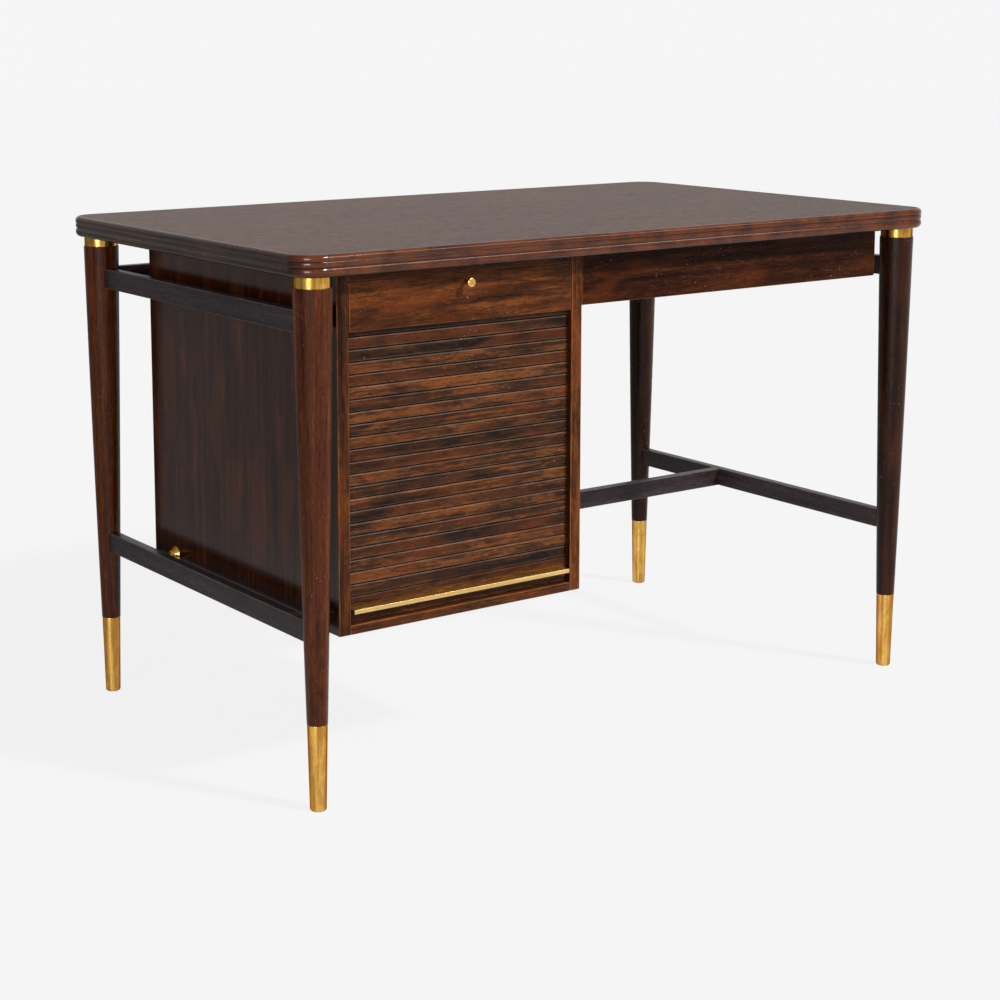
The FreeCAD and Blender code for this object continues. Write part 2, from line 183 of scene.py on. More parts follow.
def rubbed_edges_and_lit_front():
    """Where hands and cloths have rubbed the stain off the eased edges, in broken stretches. On the top's
    moulding the same stretches paint the lit front lighter: painted light.
    """
    group, given, put = new_group(
        "rubbed_edges_and_lit_front",
        [("Place", "Vector", None), ("Edge", "Float", 0.0), ("Amount", "Float", 0.6)],
        [("Rubbed", "Float")],
    )
    stretches = ramp(group, streaks(group, given["Place"], 26.0, 26.0, 3.0), 0.35, 0.65, 0.35, 1.0)
    rubbed_and_lit = reckon(group, "MULTIPLY", reckon(group, "MULTIPLY", given["Edge"], stretches), given["Amount"])
    group.links.new(rubbed_and_lit, put["Rubbed"])
    return group


def lacquer_flecks():
    """Small pale specks where the lacquer is chipped or scratched."""
    group, given, put = new_group(
        "lacquer_flecks", [("Place", "Vector", None), ("Amount", "Float", 0.5)], [("Fleck", "Float")],
    )
    specks = ramp(group, streaks(group, given["Place"], 210.0, 330.0, 1.0), 0.70, 0.78)
    worn = ramp(group, streaks(group, given["Place"], 9.0, 9.0, 2.0), 0.48, 0.62)
    fleck = reckon(group, "MULTIPLY", reckon(group, "MULTIPLY", specks, worn), given["Amount"])
    group.links.new(fleck, put["Fleck"])
    return group


def new_finish(name):
    """A new material, with its tree and its shader."""
    material = bpy.data.materials.new(name)
    material.use_nodes = True
    return material, material.node_tree, material.node_tree.nodes["Principled BSDF"]


GRAIN = stained_grain()
RUBBED_AND_LIT_FRONT = rubbed_edges_and_lit_front()
FLECKS = lacquer_flecks()
CHIPPED = stain(170, 140, 115)
GRAIN_DEPTH = 0.0003
COAT_ROUGHNESS = 0.12
GRAIN_ALONG = {"X": (0, 0, 0), "Y": (0, 0, -math.pi / 2), "Z": (0, math.pi / 2, 0)}


def stained_wood(name, grain, dark, middle, light, rubbed_and_lit, warm=stain(130, 66, 32), run=4.0, bands=40.0,
                 figure=0.3, fibres=0.9, pores=0.5, warmth=0.2, mixed=0.1, wear_and_lit_front=0.6, flecks=0.3,
                 roughness=0.3, dullness=0.2, shine=0.25, coat=0.1, lit_front_band=None):
    """A stained and lacquered wood whose grain runs along one axis, with its eased edges rubbed. The grain
    of a moulding runs round the edge of the top; its front is painted lighter over a band along Y: painted
    light."""
    material, tree, shader = new_finish(name)
    point = add(tree, "ShaderNodeTexCoord").outputs["Object"]
    if grain == "round":
        x, y, z = add(tree, "ShaderNodeSeparateXYZ", {0: point}).outputs
        spot = vector(tree, reckon(tree, "SUBTRACT", x, y), z, 0.0)
        # Here edge is the band along the front of the moulding: painted light, not wear.
        edge = ramp(tree, y, *lit_front_band, 1.0, 0.0)
    else:
        turn = {"Vector": point, "Rotation": GRAIN_ALONG[grain]}
        spot = add(tree, "ShaderNodeMapping", turn).outputs[0]
        edge = add(tree, "ShaderNodeAttribute", attribute_name="edge").outputs["Fac"]
    board = add(tree, "ShaderNodeAttribute", attribute_name="board").outputs["Fac"]
    wood = add(tree, "ShaderNodeGroup", {
        "Place": spot, "Board": board, "Dark": dark, "Middle": middle, "Light": light, "Warm": warm,
        "Run": run, "Bands": bands, "Figure": figure, "Fibres": fibres, "Pores": pores,
        "Warmth": warmth, "Mixed boards": mixed,
    }, node_tree=GRAIN)
    worn = add(tree, "ShaderNodeGroup", {"Place": spot, "Edge": edge, "Amount": wear_and_lit_front}, node_tree=RUBBED_AND_LIT_FRONT)
    chipped = add(tree, "ShaderNodeGroup", {"Place": spot, "Amount": flecks}, node_tree=FLECKS)
    bare_and_lit = tint(tree, worn.outputs["Rubbed"], wood.outputs["Color"], rubbed_and_lit)
    flecked = tint(tree, chipped.outputs["Fleck"], bare_and_lit, CHIPPED)
    tree.links.new(flecked, shader.inputs["Base Color"])
    dull = reckon(tree, "MULTIPLY_ADD", wood.outputs["Dullness"], dullness, roughness)
    tree.links.new(dull, shader.inputs["Roughness"])
    relief = add(tree, "ShaderNodeBump", {
        "Strength": 0.25, "Distance": GRAIN_DEPTH, "Height": wood.outputs["Height"],
    })
    tree.links.new(relief.outputs[0], shader.inputs["Normal"])
    shader.inputs["Specular IOR Level"].default_value = shine
    shader.inputs["Coat Weight"].default_value = coat
    shader.inputs["Coat Roughness"].default_value = COAT_ROUGHNESS
    return material


def even_flats(piece):
    """Broad faces shade flat, and the narrow eased ones take up the turn between them."""
    even = piece.modifiers.new("even_flats", "WEIGHTED_NORMAL")
    even.keep_sharp = True
    even.weight = FLATS_WEIGHT


def stands_for(piece, *nodes):
    """The piece rides on the nodes' body and is shown in their place."""
    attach(piece, body_of[nodes[0]])
    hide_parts(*nodes)


def finished(node, ease, material, board=0.0, lipping=None):
    """The node's solid with its sharp corners eased, as sandpaper leaves them. The eased faces are marked
    as edge, and the piece carries a board number of its own, so that no two boards show the same grain.
    A lipping is another wood that covers the faces at the front."""
    shape = bmesh.new()
    shape.from_mesh(frame["nodes"][node].data)
    bmesh.ops.remove_doubles(shape, verts=shape.verts, dist=MERGE)
    bmesh.ops.dissolve_limit(shape, angle_limit=FLAT_ANGLE, verts=shape.verts, edges=shape.edges)
    edge_mark = shape.faces.layers.float.new("edge")
    board_mark = shape.faces.layers.float.new("board")
    sharp = [
        edge for edge in shape.edges
        if len(edge.link_faces) == 2 and edge.calc_face_angle_signed(0) > SHARP_ANGLE
    ]
    if ease and sharp:
        eased = bmesh.ops.bevel(
            shape, geom=sharp, offset=ease, offset_type="OFFSET", segments=EASE_STEPS, profile=0.5,
            affect="EDGES", clamp_overlap=True,
        )
        for face in eased["faces"]:
            face[edge_mark] = 1.0
    for face in shape.faces:
        face.smooth = True
        face[board_mark] = board
    mesh = bpy.data.meshes.new(node + "_finished")
    shape.to_mesh(mesh)
    shape.free()
    mesh.set_sharp_from_angle(angle=SHARP_ANGLE)
    mesh.materials.append(material)
    if lipping:
        mesh.materials.append(lipping)
        for face in mesh.polygons:
            if face.normal.y < FRONT_FACING:
                face.material_index = 1
    piece = bpy.data.objects.new(node + "_finished", mesh)
    bpy.context.scene.collection.objects.link(piece)
    even_flats(piece)
    stands_for(piece, node)


LEG_FINISH = dict(
    bands=150.0, figure=0.15, fibres=0.7, pores=0.6, warmth=0.1, mixed=0.04, wear_and_lit_front=0.3, flecks=0.5,
    roughness=0.18, shine=0.2, coat=0.0,
)
left_leg_wood = stained_wood(
    "left_leg_wood", "Z", stain(42, 20, 9), stain(72, 36, 16), stain(104, 56, 26), stain(130, 90, 64),
    **LEG_FINISH,
)
# The right legs take a darker copy of the same leg wood: painted shade.
right_leg_wood_painted_shade = stained_wood(
    "right_leg_wood_painted_shade", "Z", stain(22, 11, 6), stain(40, 21, 12), stain(62, 34, 18), stain(110, 78, 60),
    **LEG_FINISH,
)
for number, corner in enumerate(("front_left", "back_left")):
    finished("leg_" + corner, LEG_EASE, left_leg_wood, board=3.1 + number)
for number, corner in enumerate(("front_right", "back_right")):
    finished("leg_" + corner, LEG_EASE, right_leg_wood_painted_shade, board=6.7 + number)


# Collars, ferrules and spacers: turned brass, polished once and now aged. The collars cover the joint
# between leg and top, the ferrules slip over the leg tips, and the spacers are screwed to the left rails.

BRASS_EASE = 0.0005
TURNED_RELIEF = 0.00008
TARNISH_DULLNESS = 0.1
QUARTER_TURN = 0.25


def aged_brass():
    """Brass drawn and polished along X, with fine tool lines across it and a soft tarnish in streaks."""
    group, given, put = new_group(
        "aged_brass",
        [
            ("Place", "Vector", None), ("Bright", "Color", stain(226, 178, 92)),
            ("Tarnished", "Color", stain(150, 98, 40)), ("Tarnish", "Float", 0.5),
        ],
        [("Color", "Color"), ("Height", "Float"), ("Dullness", "Float")],
    )
    drawn = streaks(group, given["Place"], 4.0, 120.0, 3.0, 0.6)
    clouds = streaks(group, given["Place"], 30.0, 90.0, 4.0, 0.65, 0.4)
    lines = streaks(group, given["Place"], 1500.0, 60.0, 1.0)
    mixed = reckon(group, "MULTIPLY_ADD", drawn, 0.65, reckon(group, "MULTIPLY", clouds, 0.35))
    patch = reckon(group, "MULTIPLY", ramp(group, mixed, 0.42, 0.58), given["Tarnish"])
    spots = ramp(group, streaks(group, given["Place"], 300.0, 420.0, 2.0), 0.68, 0.78)
    spotted = reckon(group, "MULTIPLY", spots, given["Tarnish"])
    stained = reckon(group, "ADD", patch, spotted, use_clamp=True)
    links = group.links
    links.new(tint(group, stained, given["Bright"], given["Tarnished"]), put["Color"])
    links.new(lines, put["Height"])
    links.new(reckon(group, "MULTIPLY_ADD", lines, 0.3, stained), put["Dullness"])
    return group


BRASS = aged_brass()


def brass(name, lines, bright, tarnished, tarnish, roughness, relief_depth=TURNED_RELIEF, turned=0.0):
    """Aged brass drawn along one axis, whose gloss takes the tarnish's colour where it is seen at a slant.
    Tool marks that run round an upright piece draw its highlights out along it."""
    material, tree, shader = new_finish(name)
    point = add(tree, "ShaderNodeTexCoord").outputs["Object"]
    spot = add(tree, "ShaderNodeMapping", {"Vector": point, "Rotation": GRAIN_ALONG[lines]}).outputs[0]
    metal = add(tree, "ShaderNodeGroup", {
        "Place": spot, "Bright": bright, "Tarnished": tarnished, "Tarnish": tarnish,
    }, node_tree=BRASS)
    tree.links.new(metal.outputs["Color"], shader.inputs["Base Color"])
    shader.inputs["Specular Tint"].default_value = tarnished
    dull = reckon(tree, "MULTIPLY_ADD", metal.outputs["Dullness"], TARNISH_DULLNESS, roughness)
    tree.links.new(dull, shader.inputs["Roughness"])
    relief = add(tree, "ShaderNodeBump", {
        "Strength": 1.0, "Distance": relief_depth, "Height": metal.outputs["Height"],
    })
    tree.links.new(relief.outputs[0], shader.inputs["Normal"])
    shader.inputs["Metallic"].default_value = 1.0
    shader.inputs["Anisotropic"].default_value = turned
    shader.inputs["Anisotropic Rotation"].default_value = QUARTER_TURN
    round_piece = add(tree, "ShaderNodeTangent", direction_type="RADIAL", axis="Z")
    tree.links.new(round_piece.outputs[0], shader.inputs["Tangent"])
    return material


turned_brass = brass(
    "turned_brass", "Z", stain(255, 200, 104), stain(158, 90, 24), tarnish=0.62, roughness=0.2, turned=0.6,
)
finished("leg_collars", BRASS_EASE, turned_brass)
for corner in ("front_left", "front_right", "back_left", "back_right"):
    finished("ferrule_" + corner, BRASS_EASE, turned_brass)
finished("brass_spacers", 0, turned_brass)


# Rails and stretcher: flat bars of a wood stained near black, with eased corners.
# They are let into the legs and into each other.

RAIL_EASE = 0.0012

side_rail_wood, cross_rail_wood = (
    stained_wood(
        name, grain, stain(28, 20, 22), stain(46, 37, 39), stain(68, 57, 59), stain(120, 108, 104),
        bands=80.0, figure=0.1, pores=0.4, warmth=0.0, wear_and_lit_front=0.45, flecks=0.25, roughness=0.3,
        shine=0.3, coat=0.0,
    )
    for name, grain in (("side_rail_wood", "Y"), ("cross_rail_wood", "X"))
)
for number, side in enumerate(("upper_left", "upper_right", "lower_left", "lower_right")):
    finished("side_rail_" + side, RAIL_EASE, side_rail_wood, board=11.3 + number)
finished("back_rail", RAIL_EASE, cross_rail_wood, board=16.3)
finished("stretcher", RAIL_EASE, cross_rail_wood, board=17.9)


# Pedestal: a case of veneered boards with upright grain, glossy outside. Its back and bottom are
# housed between the sides, and a dust panel parts the drawer from the shutter's room below.

CASE_EASE = 0.0012

case_wood = stained_wood(
    "case_wood", "Z", stain(26, 11, 6), stain(46, 24, 14), stain(70, 40, 24), stain(164, 98, 50),
    bands=90.0, figure=0.08, fibres=0.7, pores=0.35, warmth=0.12, mixed=0.03, wear_and_lit_front=0.7, flecks=0.1,
    roughness=0.08, dullness=0.08, shine=0.42, coat=0.0,
)
lipping_wood = stained_wood(
    "lipping_wood", "Z", stain(32, 17, 9), stain(58, 33, 18), stain(98, 56, 28), stain(164, 98, 50),
    bands=110.0, figure=0.5, fibres=0.8, pores=0.5, warmth=0.3, mixed=0.3, wear_and_lit_front=0.5, flecks=0.2,
    roughness=0.24, shine=0.12, coat=0.02,
)
case_cross_wood = stained_wood(
    "case_cross_wood", "X", stain(30, 16, 9), stain(62, 36, 20), stain(98, 60, 32), stain(150, 92, 52),
    bands=110.0, figure=0.35, fibres=1.1, pores=0.4, warmth=0.15, wear_and_lit_front=0.5, flecks=0.2,
    roughness=0.28, shine=0.12, coat=0.02,
)
for number, node in enumerate(("pedestal_side_left", "pedestal_side_right")):
    finished(node, CASE_EASE, case_wood, board=21.7 + number, lipping=lipping_wood)
finished("pedestal_back", CASE_EASE, case_wood, board=23.7)
for number, node in enumerate(("pedestal_bottom", "pedestal_front_rail")):
    finished(node, CASE_EASE, case_cross_wood, board=25.1 + number)


# Drawer boxes, dust panel and runners: plain mid-brown wood, waxed and not stained, butted and glued.
# The grain of the backs and bottoms runs across the desk, and that of the sides and runners from front
# to back.

BOX_EASE = 0.0008

lining_wood, lining_deep_wood = (
    stained_wood(
        name, grain, stain(112, 74, 46), stain(150, 106, 70), stain(176, 132, 92), stain(196, 156, 118),
        bands=30.0, figure=0.15, pores=0.35, wear_and_lit_front=0.5, flecks=0.1, roughness=0.5, coat=0.0,
    )
    for name, grain in (("lining_wood", "X"), ("lining_deep_wood", "Y"))
)
for number, node in enumerate(("dust_panel", "drawer_back", "drawer_bottom",
                               "pencil_drawer_back", "pencil_drawer_bottom")):
    finished(node, BOX_EASE, lining_wood, board=31.3 + number)
for number, node in enumerate(("drawer_side_left", "drawer_side_right",
                               "pencil_drawer_side_left", "pencil_drawer_side_right",
                               "pencil_runner_left", "pencil_runner_right")):
    finished(node, BOX_EASE, lining_deep_wood, board=41.3 + number)


# Drawer fronts: solid boards with lively cross grain, one over the shutter and one under the top.
# The wide shallow one under the top is stained darker.

FRONT_EASE = 0.0014

drawer_front_wood = stained_wood(
    "drawer_front_wood", "X", stain(30, 17, 9), stain(64, 35, 18), stain(104, 60, 29), stain(150, 88, 46),
    bands=90.0, figure=0.5, fibres=0.7, pores=0.55, warmth=0.3, wear_and_lit_front=0.5, flecks=0.3,
    roughness=0.26, shine=0.12, coat=0.02,
)
pencil_front_wood = stained_wood(
    "pencil_front_wood", "X", stain(26, 12, 7), stain(48, 25, 13), stain(74, 41, 20), stain(140, 88, 56),
    bands=120.0, figure=0.25, fibres=1.0, pores=0.55, warmth=0.15, wear_and_lit_front=0.4, flecks=0.4,
    roughness=0.32, shine=0.08, coat=0.0,
)
finished("drawer_front", FRONT_EASE, drawer_front_wood, board=51.9)
finished("pencil_drawer_front", FRONT_EASE, pencil_front_wood, board=57.3)


# Knob and shutter pull: small brass fittings handled bright. The knob is turned and screwed through the
# drawer front; the pull is a drawn angle pressed into a kerf in the lead rail.

PULL_EASE = 0.0004
DRAWN_RELIEF = 0.00001
MIDDLE_REACH = 0.45
RIM_START = 0.8


def finish_so_far(material):
    """A material's tree, the socket of its colour, and the output that feeds it so far."""
    tree = material.node_tree
    colour = tree.nodes["Principled BSDF"].inputs["Base Color"]
    return tree, colour, colour.links[0].from_socket


def rim_shine_painted(material, centre, radius, deep):
    """Paints the rim of a turned face bright and its middle a deeper colour: a painted reflection."""
    tree, colour, shown = finish_so_far(material)
    point = add(tree, "ShaderNodeTexCoord").outputs["Object"]
    flat = add(tree, "ShaderNodeVectorMath", {0: point, 1: (1.0, 0.0, 1.0)}, operation="MULTIPLY")
    axis = (centre.x, 0.0, centre.z)
    away = add(tree, "ShaderNodeVectorMath", {0: flat.outputs[0], 1: axis}, operation="DISTANCE")
    middle = ramp(tree, away.outputs["Value"], MIDDLE_REACH * radius, RIM_START * radius, 1.0, 0.0)
    tree.links.new(tint(tree, middle, shown, deep), colour)


handled_brass = brass(
    "handled_brass", "Y", stain(255, 222, 150), stain(190, 126, 54), tarnish=0.3, roughness=0.24,
)
drawn_brass = brass(
    "drawn_brass", "X", stain(255, 222, 146), stain(206, 146, 72), tarnish=0.4, roughness=0.3,
    relief_depth=DRAWN_RELIEF,
)
knob_low, knob_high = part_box("drawer_knob")
knob_radius = (knob_high.x - knob_low.x) / 2
# The knob's face gets a painted reflection: a bright rim and a deeper middle.
rim_shine_painted(handled_brass, (knob_low + knob_high) / 2, knob_radius, stain(250, 176, 84))
finished("drawer_knob", 0, handled_brass)
finished("tambour_pull", PULL_EASE, drawn_brass)


# Shutter: strips of mixed red-brown wood, each with its own tone and streaks, their front edges rounded.
# They are glued to a canvas backing, which hinges them, and the lead rail carries them in its grooves.

SLAT_ROUND = 0.0018
ROUND_STEPS = 5
SLAT_GAP = 0.0011
SLAT_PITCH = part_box("tambour_slat_02")[0].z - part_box("tambour_slat_01")[0].z
SLAT_COUNT = sum(1 for node in frame["nodes"] if node.startswith("tambour_slat_"))
EDGE_SLOPE = 0.15


def new_shape_tree(name, inputs):
    """An empty tree of geometry nodes with named inputs, and its input and output nodes."""
    tree = bpy.data.node_groups.new(name, "GeometryNodeTree")
    for label, kind in inputs:
        tree.interface.new_socket(label, in_out="INPUT", socket_type="NodeSocket" + kind)
    tree.interface.new_socket("Geometry", in_out="OUTPUT", socket_type="NodeSocketGeometry")
    return tree, tree.nodes.new("NodeGroupInput").outputs, tree.nodes.new("NodeGroupOutput").inputs


def slat_tree(wood):
    """A run of slats, one above the other: a rounded strip is swept across and set out by the pitch.
    The faces that slope both up and out are marked as edge."""
    tree, given, put = new_shape_tree("shutter_slats", (
        ("Count", "Int"), ("First", "Int"), ("Pitch", "Float"), ("Width", "Float"),
        ("Height", "Float"), ("Thickness", "Float"), ("Round", "Float"), ("Corner", "Vector"),
    ))
    outline = add(tree, "GeometryNodeCurvePrimitiveQuadrilateral", {
        "Width": given["Thickness"], "Height": given["Height"],
    }).outputs[0]
    here = add(tree, "GeometryNodeInputPosition").outputs[0]
    out_of_case = add(tree, "ShaderNodeSeparateXYZ", {0: here}).outputs[0]
    soft = reckon(tree, "MULTIPLY", reckon(tree, "GREATER_THAN", out_of_case, 0.0), given["Round"])
    rounded = add(tree, "GeometryNodeFilletCurve", {
        "Curve": outline, "Radius": soft, "Count": ROUND_STEPS,
    }, mode="POLY").outputs[0]
    line = add(tree, "GeometryNodeCurvePrimitiveLine", {"End": vector(tree, given["Width"], 0.0, 0.0)})
    strip = add(tree, "GeometryNodeCurveToMesh", {
        "Curve": line.outputs[0], "Profile Curve": rounded, "Fill Caps": True,
    }).outputs[0]

    facing = add(tree, "GeometryNodeInputNormal").outputs[0]
    _, out, up = add(tree, "ShaderNodeSeparateXYZ", {0: facing}).outputs
    slope = reckon(tree, "MULTIPLY", reckon(tree, "ABSOLUTE", up), reckon(tree, "ABSOLUTE", out))
    marked = add(tree, "GeometryNodeStoreNamedAttribute", {
        "Geometry": strip, "Name": "edge", "Value": reckon(tree, "GREATER_THAN", slope, EDGE_SLOPE),
    }, data_type="FLOAT", domain="FACE").outputs[0]

    stack = add(tree, "GeometryNodeMeshLine", {
        "Count": given["Count"], "Start Location": given["Corner"],
        "Offset": vector(tree, 0.0, 0.0, given["Pitch"]),
    }).outputs[0]
    slats = add(tree, "GeometryNodeInstanceOnPoints", {"Points": stack, "Instance": marked}).outputs[0]
    index = add(tree, "GeometryNodeInputIndex").outputs[0]
    numbered = add(tree, "GeometryNodeStoreNamedAttribute", {
        "Geometry": slats, "Name": "board", "Value": reckon(tree, "ADD", index, given["First"]),
    }, data_type="FLOAT", domain="INSTANCE").outputs[0]
    real = add(tree, "GeometryNodeRealizeInstances", {0: numbered}).outputs[0]
    cased = add(tree, "GeometryNodeSetMaterial", {"Geometry": real, "Material": wood}).outputs[0]
    tree.links.new(cased, put["Geometry"])
    return tree


def made_mesh(name, tree, values):
    """The plain mesh that a tree makes from named values."""
    shell = bpy.data.objects.new(name, bpy.data.meshes.new(name + "_start"))
    bpy.context.scene.collection.objects.link(shell)
    modifier = shell.modifiers.new("make", "NODES")
    modifier.node_group = tree
    for item in tree.interface.items_tree:
        if item.in_out == "INPUT" and item.name in values:
            modifier[item.identifier] = values[item.name]
    bpy.context.view_layer.update()
    graph = bpy.context.evaluated_depsgraph_get()
    mesh = bpy.data.meshes.new_from_object(shell.evaluated_get(graph), depsgraph=graph)
    shell.modifiers.remove(modifier)
    for face in mesh.polygons:
        face.use_smooth = True
    mesh.set_sharp_from_angle(angle=SHARP_ANGLE)
    shell.data = mesh
    mesh.name = name
    even_flats(shell)
    return shell


slat_wood = stained_wood(
    "slat_wood", "X", stain(24, 15, 10), stain(54, 33, 20), stain(108, 64, 33), stain(150, 128, 112),
    warm=stain(110, 56, 26), run=3.5, bands=130.0, figure=0.6, fibres=0.7, pores=0.7, warmth=0.35,
    mixed=0.24, wear_and_lit_front=0.15, flecks=0.5, roughness=0.26, shine=0.16, coat=0.03,
)
slats = slat_tree(slat_wood)
shutter_bodies = {}
for number in range(1, SLAT_COUNT + 1):
    node = "tambour_slat_%02d" % number
    shutter_bodies.setdefault(body_of[node], []).append(node)
for body, nodes in shutter_bodies.items():
    low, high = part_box(nodes[0])
    run = made_mesh(body + "_slats", slats, {
        "Count": len(nodes), "First": int(nodes[0][-2:]), "Pitch": SLAT_PITCH, "Width": high.x - low.x,
        "Height": SLAT_PITCH - SLAT_GAP, "Thickness": high.y - low.y, "Round": SLAT_ROUND,
        "Corner": Vector((low.x, (low.y + high.y) / 2, (low.z + high.z) / 2)),
    })
    stands_for(run, *nodes)
finished("tambour_lead_rail", 0, case_cross_wood, board=61.7)


# Canvas: the slats are glued side by side to a woven cloth of about 1,500 threads to the metre. Each
# body carries its own strip of it, with narrow breaks in the cloth between them.

CANVAS_THICK = 0.0006
CANVAS_BREAK = 0.0014
CANVAS_SHORT = 0.006
WEAVE_SCALE = 1400.0 / 3
WEAVE_DEPTH = 0.0002

canvas_cloth, cloth, cloth_shader = new_finish("canvas_cloth")
cloth_point = add(cloth, "ShaderNodeTexCoord").outputs["Object"]
across_thread, up_thread = (
    add(cloth, "ShaderNodeTexWave", {"Vector": cloth_point, "Scale": WEAVE_SCALE}, bands_direction=way)
    for way in ("X", "Z")
)
weave = reckon(cloth, "MAXIMUM", across_thread.outputs["Fac"], up_thread.outputs["Fac"])
faded = streaks(cloth, cloth_point, 30.0, 30.0, 3.0)
# The cloth's colours are dark, so that the narrow gaps between the slats show dark: partly painted shade.
worn_cloth = tint(cloth, faded, stain(50, 38, 28), stain(74, 58, 44))
threads = tint(cloth, reckon(cloth, "MULTIPLY", weave, 0.5), stain(34, 26, 20), worn_cloth)
cloth.links.new(threads, cloth_shader.inputs["Base Color"])
cloth_shader.inputs["Roughness"].default_value = 0.95
cloth_shader.inputs["Specular IOR Level"].default_value = 0.2
woven = add(cloth, "ShaderNodeBump", {"Strength": 0.5, "Distance": WEAVE_DEPTH, "Height": weave})
cloth.links.new(woven.outputs[0], cloth_shader.inputs["Normal"])
canvas = slat_tree(canvas_cloth)
for body, nodes in shutter_bodies.items():
    low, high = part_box(nodes[0])
    _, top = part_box(nodes[-1])
    cloth_width = high.x - low.x - 2 * CANVAS_SHORT
    cloth_height = len(nodes) * SLAT_PITCH - CANVAS_BREAK
    sheet = made_mesh(body + "_canvas", canvas, {
        "Count": 1, "First": 0, "Pitch": SLAT_PITCH, "Width": cloth_width, "Height": cloth_height,
        "Thickness": CANVAS_THICK, "Round": 0.0,
        "Corner": Vector((low.x + CANVAS_SHORT, high.y + CANVAS_THICK / 2, (low.z + top.z) / 2)),
    })
    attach(sheet, body)


# Desktop: a thick top veneered along its length, satin from use. Its edge is worked in three shallow
# reeds that run round the corners and are rubbed to a gloss.

TOP_CORNER_RADIUS = 0.039
CORNER_STEPS = 24
EDGE_IN = 0.005
REEDS = (
    ((-0.005, 0.0), (0.0, 0.00611), (-0.001, 0.0095)),
    ((-0.001, 0.0095), (-0.0002, 0.01287), (-0.0018, 0.0175)),
    ((-0.0018, 0.0175), (0.0, 0.02256), (-0.005, 0.03)),
)
REED_STEPS = 12
WELD = 0.00005
GROOVE_SHADE_REACH = 0.0014
LIT_FRONT_START = 0.011
LIT_FRONT_END = 0.036

top_low, top_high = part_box("desktop")
top_wood = stained_wood(
    "top_wood", "X", stain(34, 21, 16), stain(66, 44, 33), stain(110, 74, 53), stain(150, 120, 100),
    run=1.5, bands=150.0, figure=0.3, fibres=1.2, pores=0.6, warmth=0.12, mixed=0.0, wear_and_lit_front=0.4,
    flecks=0.15, roughness=0.32, dullness=0.35, shine=0.2, coat=0.0,
)
# The moulding's front is painted lighter and warmer than its left side: painted light on the lit front.
edge_wood = stained_wood(
    "edge_wood", "round", stain(16, 8, 5), stain(38, 18, 10), stain(92, 46, 20), stain(176, 92, 42),
    run=9.0, bands=300.0, figure=0.2, fibres=0.8, pores=0.4, warmth=0.1, mixed=0.0, wear_and_lit_front=0.2,
    flecks=0.2, roughness=0.13, dullness=0.06, shine=0.36, coat=0.08,
    lit_front_band=(top_low.y + LIT_FRONT_START, top_low.y + LIT_FRONT_END),
)


def grooves_painted_dark(material, heights, groove_shade):
    """Painted shade: the moulding darkened in a narrow band along each groove between the reeds."""
    tree, colour, shown = finish_so_far(material)
    point = add(tree, "ShaderNodeTexCoord").outputs["Object"]
    height = add(tree, "ShaderNodeSeparateXYZ", {0: point}).outputs[2]
    for groove in heights:
        off = reckon(tree, "ABSOLUTE", reckon(tree, "SUBTRACT", height, groove))
        shown = tint(tree, ramp(tree, off, 0.0, GROOVE_SHADE_REACH, 1.0, 0.0), shown, groove_shade)
    tree.links.new(shown, colour)


